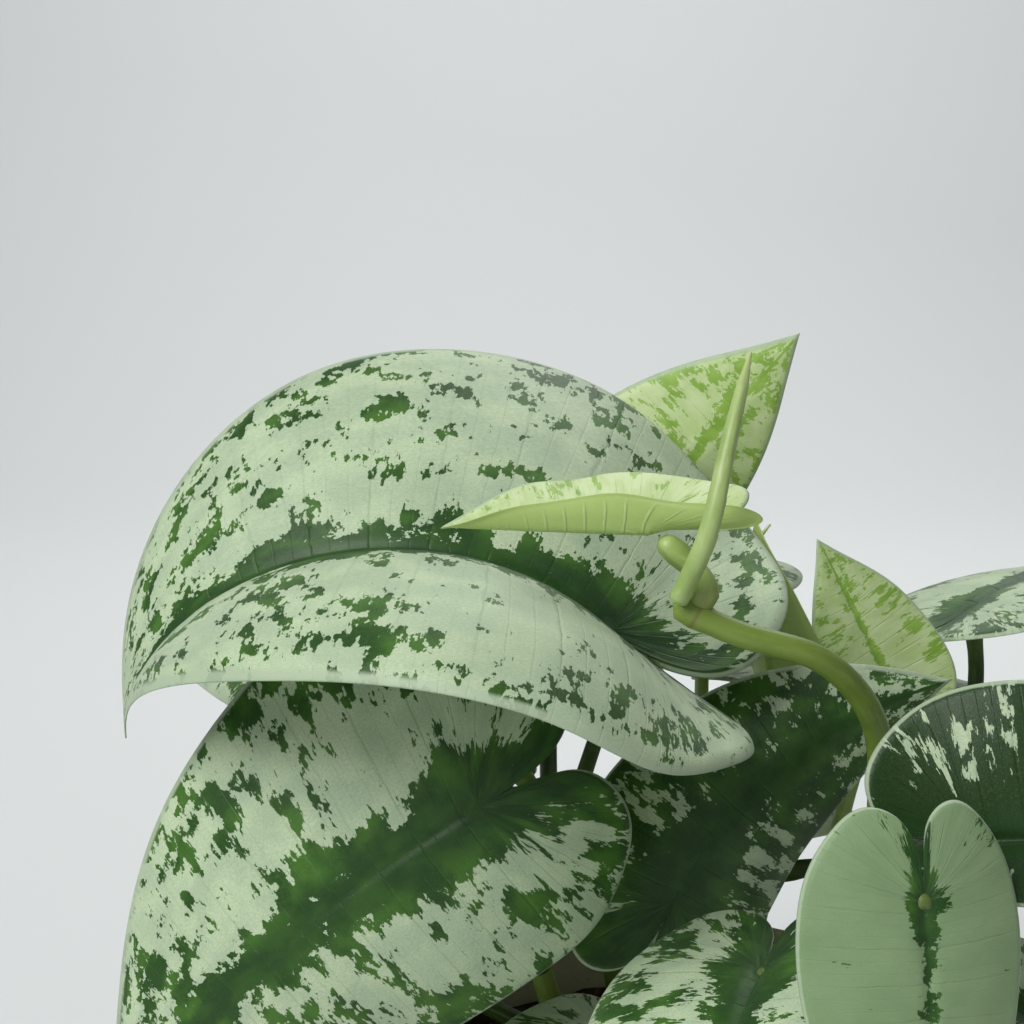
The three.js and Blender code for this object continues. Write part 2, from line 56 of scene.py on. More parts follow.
# Right half of the flat blade from the tip to the notch: ahead of the petiole, aside of the midrib,
# as shares of the blade's length.
OUTLINE = np.array([
    (1, 0), (0.865, 0.115), (0.71, 0.255), (0.51, 0.395), (0.3, 0.48), (0.1, 0.505),
    (-0.08, 0.46), (-0.2, 0.345), (-0.262, 0.195), (-0.2, 0.04), (-0.052, 0),
])
WIDEST = 5  # the outline's point beside the petiole, where the blade is widest
RING_SHARES = (0, 0.34, 0.69, 1)  # share of the way to the margin of each ring of the CAD blade
SPOKES = 20  # points round each ring of the CAD blade
VEINS = 17  # side veins on each half of a blade
FAN = 0.36  # share of those veins that start at the petiole, and fan into the lobe
VEIN_REACH = 0.45  # how far ahead a side vein bows on its way out
VEIN_PITCH = 7.5  # millimetres from vein to vein in the pattern of a blade
FINE_VEINS = 3  # fine veins for each side vein

# ---- Fineness ----

ACROSS_STEPS = 34  # rows of a blade from the petiole to its margin
ROUND_STEPS = 11  # columns between two points of the outline
TUBE_SIDES = 20
POT_SIDES = 160


# ---- Reading the CAD nodes ----

def welded(node):
    """Distinct points of a CAD node and its triangles."""
    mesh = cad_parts[node].data
    flat = np.empty(len(mesh.vertices) * 3, np.float32)
    mesh.vertices.foreach_get("co", flat)
    points, index = np.unique(np.round(flat.reshape(-1, 3), 6), axis=0, return_inverse=True)
    index = index.reshape(-1)
    mesh.calc_loop_triangles()
    triangles = np.array([[index[v] for v in t.vertices] for t in mesh.loop_triangles])
    a, b, c = triangles.T
    return points.astype(float), triangles[(a != b) & (b != c) & (a != c)]


def neighbours(count, triangles):
    near = [set() for _ in range(count)]
    for a, b, c in triangles:
        near[a].update((b, c))
        near[b].update((a, c))
        near[c].update((a, b))
    return near


def layers_from(start, near):
    """Points in layers, by how many edges they are from the start."""
    seen = {start}
    layers = [[start]]
    while layers[-1]:
        following = set().union(*(near[v] for v in layers[-1])) - seen
        seen |= following
        layers.append(sorted(following))
    return layers[:-1]


def in_order(ring, near):
    """A ring's points in order round it."""
    left = set(ring)
    path = [ring[0]]
    left.discard(ring[0])
    while left:
        following = sorted(near[path[-1]] & left)
        if not following:
            break
        path.append(following[0])
        left.discard(following[0])
    return path


def unit(v):
    return v / np.linalg.norm(v, axis=-1, keepdims=True)


def line_up(ring, guide):
    """The ring turned, and reversed if need be, so that its points lie nearest the guide's."""
    best = None
    for order in (ring, ring[::-1]):
        for shift in range(len(ring)):
            turned = np.roll(order, shift, axis=0)
            miss = ((turned - guide) ** 2).sum()
            if best is None or miss < best[0]:
                best = (miss, turned)
    return best[1]


def read_leaf(node):
    """The junction, three rings of the upper side and the petiole's rings, from a leaf's CAD node.
    Each blade ring starts at the tip and runs down the right half first."""
    points, triangles = welded(node)
    near = neighbours(len(points), triangles)
    top = max(range(len(points)), key=lambda v: len(near[v]))
    layers = layers_from(top, near)
    junction = points[top]
    rings = [points[in_order(layer, near)] for layer in layers[1:4]]
    normals = []
    for a, b, c in triangles:
        if top in (a, b, c):
            normals.append(np.cross(points[b] - points[a], points[c] - points[a]))
    up = unit(np.sum(normals, axis=0))

    margin = rings[2]
    tip = int(np.argmax(np.linalg.norm(margin - junction, axis=1)))
    margin = np.roll(margin, -tip, axis=0)
    middle = line_up(rings[1], junction + (margin - junction) * RING_SHARES[2])
    inner = line_up(rings[0], junction + (middle - junction) * RING_SHARES[1] / RING_SHARES[2])
    right = np.cross(unit(inner[0] - junction), up)
    if (inner[WIDEST] - inner[-WIDEST]) @ right < 0:
        margin, middle, inner = (np.roll(r[::-1], 1, axis=0) for r in (margin, middle, inner))

    petiole = [points[in_order(layer, near)] for layer in layers[7:-1]]
    return {"junction": junction, "rings": [inner, middle, margin], "petiole": petiole, "up": up}


# ---- Smooth lines and surfaces ----

def natural_spline(knots, values, at):
    """Natural cubic spline through values (knots first), read off at other places."""
    count = len(knots)
    step = np.diff(knots)
    slope = np.diff(values, axis=0) / step.reshape(-1, *[1] * (values.ndim - 1))
    system = np.eye(count)
    target = np.zeros_like(values)
    for i in range(1, count - 1):
        system[i, i - 1 : i + 2] = step[i - 1], 2 * (step[i - 1] + step[i]), step[i]
        target[i] = 6 * (slope[i] - slope[i - 1])
    bend = np.linalg.solve(system, target.reshape(count, -1)).reshape(values.shape)
    k = np.clip(np.searchsorted(knots, at, side="right") - 1, 0, count - 2)
    shape = (-1, *[1] * (values.ndim - 1))
    h = step[k].reshape(shape)
    a = ((knots[k + 1] - at) / step[k]).reshape(shape)
    b = 1 - a
    curve = ((a**3 - a) * bend[k] + (b**3 - b) * bend[k + 1]) * h**2 / 6
    return a * values[k] + b * values[k + 1] + curve


def cubic_through(knots, values, at):
    """The cubic through four values (knots first), read off at other places."""
    total = 0
    for i in range(4):
        share = np.ones_like(at)
        for j in range(4):
            if j != i:
                share = share * (at - knots[j]) / (knots[i] - knots[j])
        total = total + share.reshape(-1, *[1] * (values.ndim - 1)) * values[i]
    return total


OUTLINE_KNOTS = np.concatenate(([0], np.cumsum(np.linalg.norm(np.diff(OUTLINE, axis=0), axis=1))))


def outline_places():
    """Places along the outline of a half: ROUND_STEPS between two of its points."""
    spans = zip(OUTLINE_KNOTS, OUTLINE_KNOTS[1:])
    places = [np.linspace(a, b, ROUND_STEPS, endpoint=False) for a, b in spans]
    return np.concatenate((*places, [OUTLINE_KNOTS[-1]]))


PLACES = outline_places()
SHARES = 1 - (1 - np.linspace(0, 1, ACROSS_STEPS + 1)) ** 1.25  # closer rows near the margin
FLAT = natural_spline(OUTLINE_KNOTS, OUTLINE, PLACES)
FLAT[:, 1] = np.maximum(FLAT[:, 1], 0)
FLAT[[0, -1], 1] = 0


# ---- Veins of the flat leaf ----

def margin_at(share):
    """Place on the outline, from 0 at the notch to 1 at the tip."""
    return natural_spline(OUTLINE_KNOTS, OUTLINE, OUTLINE_KNOTS[-1] * (1 - share))


def vein_field():
    """For each row and column of the flat half: which side vein it lies on, from 0 in the lobe to 1
    at the tip, and how far out along that vein."""
    lanes = np.linspace(0, 1, 240)
    start = np.zeros((len(lanes), 2))
    start[:, 0] = np.clip((lanes - FAN) / (1 - FAN), 0, 1)
    end = margin_at(lanes)
    along_start = start[:, 0]
    bow = np.stack(
        (
            along_start + (end[:, 0] - along_start) * VEIN_REACH,
            end[:, 1] * (0.5 + 0.12 * np.clip((lanes - FAN) / (1 - FAN), 0, 1)),
        ),
        axis=1,
    )
    outward = np.linspace(0, 1, 90)
    tree = kdtree.KDTree(len(lanes) * len(outward))
    values = []
    for i, lane in enumerate(lanes):
        for out in outward:
            p = (1 - out) ** 2 * start[i] + 2 * out * (1 - out) * bow[i] + out**2 * end[i]
            tree.insert((p[0], p[1], 0), len(values))
            values.append((lane, out))
    tree.balance()
    values = np.array(values)
    field = np.zeros((len(SHARES), len(PLACES), 2))
    for r, share in enumerate(SHARES):
        for c, (x, y) in enumerate(FLAT * share):
            found = tree.find_n((x, y, 0), 4)
            weight = np.array([1 / (d + 1e-4) for _, _, d in found])
            picked = values[[k for _, k, _ in found]]
            field[r, c] = (picked * weight[:, None]).sum(0) / weight.sum()
    return field


VEIN_FIELD = vein_field()


# ---- Meshes ----

def make_object(name, vertices, faces, materials, smooth=True):
    mesh = bpy.data.meshes.new(name)
    mesh.from_pydata([tuple(v) for v in vertices], [], faces)
    for material in materials:
        mesh.materials.append(material)
    if smooth:
        mesh.polygons.foreach_set("use_smooth", [True] * len(mesh.polygons))
    mesh.validate()
    mesh.update()
    thing = bpy.data.objects.new(name, mesh)
    bpy.context.scene.collection.objects.link(thing)
    return thing


def stands_for(thing, slot, *nodes):
    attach(thing, BODY)
    if nodes:
        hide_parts(*nodes)
    return thing


def set_vector(thing, name, values):
    layer = thing.data.attributes.new(name, "FLOAT_VECTOR", "POINT")
    layer.data.foreach_set("vector", np.asarray(values, np.float32).ravel())


def grid_normals(grid):
    """Normals of a grid of points, rows going out from the junction."""
    across = np.gradient(grid, axis=0)
    along = np.gradient(grid, axis=1)
    normal = np.cross(along, across)
    length = np.linalg.norm(normal, axis=2, keepdims=True)
    return normal / np.maximum(length, 1e-12)


# ---- Node trees ----

class Tree:
    """Short ways to add shader nodes."""

    def __init__(self, name):
        self.material = bpy.data.materials.new(name)
        self.material.use_nodes = True
        self.nodes = self.material.node_tree.nodes
        self.links = self.material.node_tree.links
        self.nodes.clear()

    def node(self, kind, inputs=(), **settings):
        made = self.nodes.new(kind)
        for key, value in settings.items():
            setattr(made, key, value)
        for socket, value in dict(inputs).items():
            self.feed(made.inputs[socket], value)
        return made

    def feed(self, socket, value):
        if isinstance(value, bpy.types.NodeSocket):
            self.links.new(value, socket)
        elif isinstance(value, bpy.types.Node):
            self.links.new(value.outputs[0], socket)
        else:
            socket.default_value = value

    def math(self, operation, a, b=0.0, c=0.0, clamp=False):
        inputs = {0: a, 1: b, 2: c}
        return self.node("ShaderNodeMath", inputs, operation=operation, use_clamp=clamp)

    def ramp(self, value, low, high):
        """0 below low, 1 above high, smooth between."""
        inputs = {"Value": value, "From Min": low, "From Max": high}
        return self.node("ShaderNodeMapRange", inputs, interpolation_type="SMOOTHSTEP")

    def mix(self, share, a, b):
        made = self.node("ShaderNodeMix", data_type="RGBA")
        self.feed(made.inputs["Factor"], share)
        self.feed(made.inputs["A"], a)
        self.feed(made.inputs["B"], b)
        return made.outputs["Result"]

    def noise(self, vector, scale, detail=2.0, roughness=0.5, distortion=0.0):
        inputs = {
            "Vector": vector, "Scale": scale, "Detail": detail, "Roughness": roughness,
            "Distortion": distortion,
        }
        return self.node("ShaderNodeTexNoise", inputs).outputs["Fac"]

    def attribute(self, name):
        return self.node("ShaderNodeAttribute", attribute_name=name).outputs["Vector"]

    def parts(self, vector):
        made = self.node("ShaderNodeSeparateXYZ", {0: vector})
        return made.outputs["X"], made.outputs["Y"], made.outputs["Z"]

    def stretched(self, vector, x, y, z):
        inputs = {0: vector, 1: (x, y, z)}
        return self.node("ShaderNodeVectorMath", inputs, operation="MULTIPLY").outputs["Vector"]

    def bump(self, height, strength, distance, normal=None):
        inputs = {"Height": height, "Strength": strength, "Distance": distance}
        made = self.node("ShaderNodeBump", inputs)
        if normal is not None:
            self.feed(made.inputs["Normal"], normal)
        return made.outputs["Normal"]

    def surface(self, shader):
        self.node("ShaderNodeOutputMaterial", {"Surface": shader})
        return self.material


def srgb(r, g, b):
    """Linear colour from 8-bit sRGB."""
    def channel(v):
        v /= 255
        return v / 12.92 if v <= 0.04045 else ((v + 0.055) / 1.055) ** 2.4
    return (channel(r), channel(g), channel(b), 1.0)


def with_light_through(tree, principled, colour, share):
    """Mixes a share of light shining through the leaf into its surface."""
    through = tree.node("ShaderNodeBsdfTranslucent", {"Color": colour})
    return tree.node("ShaderNodeMixShader", {0: share, 1: principled, 2: through})


def leaf_top_material():
    """Upper side of a blade: green splashed with silver along the veins.
    `pattern` is millimetres across the veins, millimetres along them, and the leaf's seed.
    `place` is the share of the way to the margin, the distance from the midrib and the distance
    ahead of the petiole, as shares of the blade's length.
    `kind` is how silvery the leaf is and how much painted shade it takes, how young, and how wide its dark
    midrib band is."""
    t = Tree("leaf_top")
    pattern = t.attribute("pattern")
    edge, aside, ahead = t.parts(t.attribute("place"))
    silver_and_shade, young, band = t.parts(t.attribute("kind"))
    across = t.parts(pattern)[0]

    # splashes, ragged along the veins
    coarse = t.noise(t.stretched(pattern, 1, 0.5, 1), 0.13, 2.0, 0.5)
    ragged = t.noise(t.stretched(pattern, 1, 0.36, 1), 0.29, 6.0, 0.64)
    flecks = t.noise(t.stretched(pattern, 1, 0.16, 1), 1.4, 2.0, 0.6)
    splash = t.math("MULTIPLY_ADD", t.math("SUBTRACT", coarse, 0.5), 1.4, 0.5)
    splash = t.math("MULTIPLY_ADD", t.math("SUBTRACT", ragged, 0.5), 3.0, splash)
    splash = t.math("MULTIPLY_ADD", t.math("SUBTRACT", flecks, 0.5), 1.1, splash)

    # the dark band along the midrib narrows to nothing before the tip, and silver borders it
    taper = t.math("MULTIPLY", band, t.ramp(ahead, 0.97, 0.1))
    near_rib = t.math("SUBTRACT", 1.0, t.math("DIVIDE", aside, t.math("ADD", taper, 0.004)))
    rib_push = t.math("MULTIPLY", t.math("MAXIMUM", near_rib, -0.3), 0.85)
    heart = t.ramp(t.math("ADD", t.math("ABSOLUTE", ahead), aside), 0.2, 0.0)
    outer_push = t.math("MULTIPLY", t.ramp(edge, 0.4, 0.8), 0.26)
    dark = t.math("ADD", splash, rib_push)
    dark = t.math("MULTIPLY_ADD", heart, 0.8, dark)
    dark = t.math("ADD", dark, outer_push)
    dark = t.math("SUBTRACT", dark, silver_and_shade)
    dark = t.ramp(dark, 0.47, 0.53)

    # vein lines, where the silver is thin
    lane = t.math("MULTIPLY", across, 1 / VEIN_PITCH)
    from_vein = t.math("ABSOLUTE", t.math("SUBTRACT", t.math("FRACT", lane), 0.5))
    wander = t.noise(t.stretched(pattern, 1, 0.2, 1), 0.5, 2.0)
    vein = t.ramp(t.math("MULTIPLY_ADD", wander, 0.16, from_vein), 0.13, 0.08)
    vein = t.math("MULTIPLY", vein, t.ramp(edge, 0.98, 0.6))
    fine_lane = t.math("MULTIPLY", across, FINE_VEINS / VEIN_PITCH)
    from_fine = t.math("ABSOLUTE", t.math("SUBTRACT", t.math("FRACT", fine_lane), 0.5))
    fine_vein = t.ramp(t.math("MULTIPLY_ADD", wander, 0.12, from_fine), 0.13, 0.04)

    # colours
    tone = t.noise(t.stretched(pattern, 1, 0.6, 1), 0.16, 3.0)
    grain = t.noise(pattern, 2.6, 2.0, 0.6)
    silver = t.mix(t.ramp(tone, 0.35, 0.65), srgb(190, 210, 176), srgb(208, 226, 188))
    # painted shade: the most silvery mature leaves take a greyer, darker silver, as they lie in shade
    silver = t.mix(t.ramp(silver_and_shade, 0.3, 0.5), silver, t.mix(tone, srgb(126, 154, 108), srgb(158, 184, 138)))
    silver = t.mix(t.ramp(grain, 0.3, 0.7), t.mix(0.3, silver, srgb(126, 156, 112)), silver)
    silver = t.mix(t.math("MULTIPLY", vein, 0.14), silver, srgb(138, 165, 118))
    silver = t.mix(t.math("MULTIPLY", fine_vein, 0.12), silver, srgb(140, 168, 128))
    green = t.mix(t.ramp(tone, 0.38, 0.68), srgb(34, 74, 20), srgb(72, 118, 38))
    # painted shade: leaves given a value below 0 take a deeper green, as they lie in shade
    green = t.mix(t.ramp(silver_and_shade, -0.05, -0.3), green, srgb(26, 58, 14))
    green = t.mix(t.ramp(grain, 0.45, 0.8), green, t.mix(0.3, green, srgb(104, 142, 74)))
    green = t.mix(t.math("MULTIPLY", t.ramp(near_rib, 0.1, 0.7), 0.6), green, srgb(30, 66, 26))
    young_silver = t.mix(t.ramp(tone, 0.35, 0.65), srgb(198, 220, 152), srgb(216, 234, 176))
    young_green = t.mix(t.ramp(tone, 0.38, 0.68), srgb(140, 180, 72), srgb(162, 200, 92))
    silver = t.mix(young, silver, young_silver)
    green = t.mix(young, green, young_green)
    colour = t.mix(dark, silver, green)
    # painted highlight: a pale band along the margin, where the curled-down rim catches the light
    rim_highlight = t.ramp(t.math("MULTIPLY_ADD", wander, 0.01, edge), 0.972, 0.99)
    colour = t.mix(t.math("MULTIPLY", rim_highlight, 0.85), colour, srgb(186, 204, 172))

    # relief: veins sink, silver cells stand a little proud and glitter
    height = t.math("MULTIPLY", grain, 0.35)
    height = t.math("MULTIPLY_ADD", vein, -0.5, height)
    height = t.math("MULTIPLY_ADD", fine_vein, -0.35, height)
    height = t.math("MULTIPLY_ADD", dark, -0.25, height)
    normal = t.bump(height, 0.55, 0.00022)
    sparkle = t.noise(pattern, 5.5, 1.0, 0.5)
    normal = t.bump(sparkle, 0.35, 0.00006, normal)
    rough = t.math("MULTIPLY_ADD", dark, -0.06, t.math("MULTIPLY_ADD", sparkle, 0.22, 0.36))
    skin = t.node("ShaderNodeBsdfPrincipled", {
        "Base Color": colour, "Roughness": rough, "IOR": 1.42, "Normal": normal,
        "Sheen Weight": 0.12, "Sheen Roughness": 0.45,
    })
    light = t.mix(young, srgb(120, 160, 60), srgb(196, 226, 112))
    return t.surface(with_light_through(t, skin, light, 0.16))


def leaf_under_material():
    """Underside of a blade: pale, dull green, with raised veins."""
    t = Tree("leaf_under")
    pattern = t.attribute("pattern")
    edge = t.parts(t.attribute("place"))[0]
    young = t.parts(t.attribute("kind"))[1]
    across = t.parts(pattern)[0]
    lane = t.math("MULTIPLY", across, 1 / VEIN_PITCH)
    from_vein = t.math("ABSOLUTE", t.math("SUBTRACT", t.math("FRACT", lane), 0.5))
    vein = t.math("MULTIPLY", t.ramp(from_vein, 0.09, 0.02), t.ramp(edge, 0.98, 0.5))
    cloud = t.noise(pattern, 0.3, 4.0, 0.6)
    grain = t.noise(pattern, 2.2, 2.0)
    colour = t.mix(t.ramp(cloud, 0.3, 0.7), srgb(128, 150, 104), srgb(150, 170, 122))
    colour = t.mix(young, colour, srgb(180, 204, 120))
    colour = t.mix(t.math("MULTIPLY", vein, 0.45), colour, srgb(182, 198, 142))
    colour = t.mix(t.ramp(grain, 0.55, 0.85), colour, t.mix(0.25, colour, srgb(100, 128, 78)))
    height = t.math("MULTIPLY_ADD", vein, 1.0, t.math("MULTIPLY", grain, 0.25))
    skin = t.node("ShaderNodeBsdfPrincipled", {
        "Base Color": colour, "Roughness": t.math("MULTIPLY_ADD", grain, 0.2, 0.45),
        "Normal": t.bump(height, 0.6, 0.0002), "Sheen Weight": 0.1,
    })
    light = t.mix(young, srgb(126, 160, 60), srgb(200, 226, 112))
    return t.surface(with_light_through(t, skin, light, 0.2))


def stalk_material(name, low, high, streak, tip):
    """Skin of a petiole, stem or shoot: `run` is millimetres round it, millimetres along it and a
    seed, and `wear` is the share of its length, then how near a node is."""
    t = Tree(name)
    run = t.attribute("run")
    along, node = t.parts(t.attribute("wear"))[:2]
    fibres = t.noise(t.stretched(run, 1, 0.12, 1), 1.4, 4.0, 0.6)
    cloud = t.noise(t.stretched(run, 1, 0.4, 1), 0.25, 3.0)
    specks = t.noise(run, 3.2, 2.0, 0.6)
    colour = t.mix(t.ramp(cloud, 0.3, 0.7), low, high)
    colour = t.mix(t.math("MULTIPLY", t.ramp(fibres, 0.5, 0.75), 0.4), colour, streak)
    colour = t.mix(t.math("MULTIPLY", t.ramp(specks, 0.62, 0.74), 0.3), colour, streak)
    colour = t.mix(t.math("MULTIPLY", t.ramp(along, 0.72, 1.0), 0.6), colour, tip)
    scar = t.math("MULTIPLY", t.ramp(node, 0.55, 1.0), 0.6)
    colour = t.mix(scar, colour, srgb(120, 100, 58))
    height = t.math("MULTIPLY_ADD", specks, 0.3, fibres)
    skin = t.node("ShaderNodeBsdfPrincipled", {
        "Base Color": colour, "Roughness": t.math("MULTIPLY_ADD", fibres, 0.2, 0.3),
        "Normal": t.bump(height, 0.35, 0.00018),
    })
    return t.surface(with_light_through(t, skin, high, 0.08))


def pot_material():
    """Matte warm off-white pot with faint clouding, specks and a trace of dried water."""
    t = Tree("pot_body")
    place = t.node("ShaderNodeTexCoord").outputs["Object"]
    z = t.parts(place)[2]
    cloud = t.noise(place, 26.0, 5.0, 0.6)
    specks = t.noise(place, 900.0, 2.0, 0.6)
    drips = t.noise(t.stretched(place, 1, 1, 0.12), 90.0, 4.0, 0.65)
    colour = t.mix(t.ramp(cloud, 0.3, 0.7), srgb(206, 196, 178), srgb(220, 212, 196))
    colour = t.mix(t.math("MULTIPLY", t.ramp(specks, 0.64, 0.72), 0.5), colour, srgb(150, 136, 116))
    colour = t.mix(t.math("MULTIPLY", t.ramp(drips, 0.55, 0.8), 0.25), colour, srgb(190, 178, 156))
    foot = t.math("MULTIPLY", t.ramp(z, 0.012, 0.0), 0.35)
    colour = t.mix(foot, colour, srgb(166, 150, 124))
    height = t.math("MULTIPLY_ADD", specks, 0.4, cloud)
    skin = t.node("ShaderNodeBsdfPrincipled", {
        "Base Color": colour, "Roughness": t.math("MULTIPLY_ADD", drips, 0.25, 0.48),
        "Normal": t.bump(height, 0.25, 0.0003),
    })
    return t.surface(skin)


def crumb_material(name, dark, light, scale, roughness):
    """Rough crumbs of the potting mix."""
    t = Tree(name)
    place = t.node("ShaderNodeTexCoord").outputs["Object"]
    coarse = t.noise(place, scale, 5.0, 0.7)
    fine = t.noise(place, scale * 6, 3.0, 0.65)
    colour = t.mix(t.ramp(coarse, 0.35, 0.68), dark, light)
    colour = t.mix(t.math("MULTIPLY", t.ramp(fine, 0.55, 0.8), 0.4), colour, dark)
    height = t.math("MULTIPLY_ADD", fine, 0.5, coarse)
    skin = t.node("ShaderNodeBsdfPrincipled", {
        "Base Color": colour, "Roughness": roughness,
        "Normal": t.bump(height, 0.7, 0.0006),
    })
    return t.surface(skin)


LEAF_TOP = leaf_top_material()
LEAF_UNDER = leaf_under_material()
PETIOLE = stalk_material(
    "petiole_skin", srgb(44, 68, 20), srgb(74, 100, 36), srgb(116, 138, 70), srgb(112, 136, 66)
)
YOUNG_PETIOLE = stalk_material(
    "young_petiole_skin", srgb(138, 164, 82), srgb(164, 188, 106), srgb(190, 208, 140),
    srgb(178, 200, 122)
)
STEM = stalk_material(
    "stem_skin", srgb(96, 122, 42), srgb(122, 146, 58), srgb(150, 168, 88), srgb(140, 164, 76)
)
SHOOT = stalk_material(
    "shoot_skin", srgb(150, 176, 98), srgb(176, 198, 126), srgb(204, 218, 164), srgb(206, 216, 150)
)
POT = pot_material()
MIX = crumb_material("mix_bed", srgb(34, 24, 16), srgb(70, 50, 34), 260.0, 0.95)
BARK = crumb_material("bark_chips", srgb(52, 34, 22), srgb(112, 78, 50), 340.0, 0.85)
PERLITE = crumb_material("perlite", srgb(176, 172, 162), srgb(226, 222, 212), 520.0, 0.9)


# ---- Leaves ----

# How silvery each leaf is, how young, and the half width of its dark midrib band as a share of its
# length. The first value also paints shade on mature leaves in shade: below 0 a deeper green, above
# 0.3 a greyer, darker silver. A leaf that isn't listed is like most: even splashes of both.
LOOKS = {
    "leaf_great": (0.14, 0.0, 0.085),
    "leaf_front_left": (0.03, 0.0, 0.1),
    "leaf_front_middle": (-0.12, 0.0, 0.15),
    "leaf_front_low": (0.0, 0.0, 0.09),
    "leaf_silver": (0.5, 0.0, 0.04),
    "leaf_right_dark": (-0.3, 0.0, 0.14),
    "leaf_lime": (0.15, 1.0, 0.03),
    "leaf_upright": (0.08, 1.0, 0.03),
    "leaf_pale": (0.5, 1.0, 0.02),
    "leaf_unrolling": (0.3, 1.0, 0.03),
}
PLAIN_LOOK = (0.04, 0.0, 0.09)

SKIN_THICKNESS = 0.55 * MM
RIM_THICKNESS = 0.35 * MM
KEEL_DEPTH = 1.1 * MM
KEEL_HALF_WIDTH = 1.5 * MM
GROOVE_DEPTH = 0.55 * MM
GROOVE_HALF_WIDTH = 1.3 * MM
QUILT_DEPTH = 0.11 * MM
ROLL_DEPTH = 0.9 * MM  # how far the margin curls down
ROLL_SHARE = 0.93  # where the curl starts
HALVES_APART = 7  # how far apart the patterns of the two halves lie, in the pattern's depth
MIDRIB_REACH = 5 * MM  # how far from the midrib they have drawn apart


def blade_surface(leaf, side):
    """Fine grid of one half of a blade: rows from the junction to the margin, columns from the tip
    to the notch. Side 1 is the right half, and -1 the left."""
    order = [(i * side) % SPOKES for i in range(SPOKES // 2 + 1)]
    coarse = np.stack([np.repeat(leaf["junction"][None], len(order), axis=0)]
                      + [ring[order] for ring in leaf["rings"]])
    rows = cubic_through(RING_SHARES, coarse, SHARES)
    return natural_spline(OUTLINE_KNOTS, rows.transpose(1, 0, 2), PLACES).transpose(1, 0, 2)


def blade_relief(length, half_width):
    """How far the upper side stands proud of the smooth blade, and how much thicker than its skin
    the blade is below, for the rows and columns of a half."""
    share = SHARES[:, None]
    ahead = share * FLAT[None, :, 0] * length
    aside = share * FLAT[None, :, 1] * half_width / OUTLINE[WIDEST, 1]
    onward = np.clip(ahead / length, 0, 1)
    fade = (1 - onward) ** 0.7 * np.clip(1 + ahead / (0.05 * length), 0, 1)
    groove = np.exp(-((aside / GROOVE_HALF_WIDTH) ** 2)) * fade
    keel = np.exp(-((aside / KEEL_HALF_WIDTH) ** 2)) * fade
    lane, out = VEIN_FIELD[..., 0], VEIN_FIELD[..., 1]
    quilt = np.abs(np.sin(np.pi * lane * VEINS)) ** 0.7
    quilt = (quilt - 0.6) * np.clip(out * 5, 0, 1) * np.clip((1 - share) * 6, 0, 1)
    roll = np.clip((share - ROLL_SHARE) / (1 - ROLL_SHARE), 0, 1) ** 2
    size = length / 0.1
    top = QUILT_DEPTH * size * quilt - GROOVE_DEPTH * groove - ROLL_DEPTH * size * roll
    return top, KEEL_DEPTH * size * keel, ahead, aside


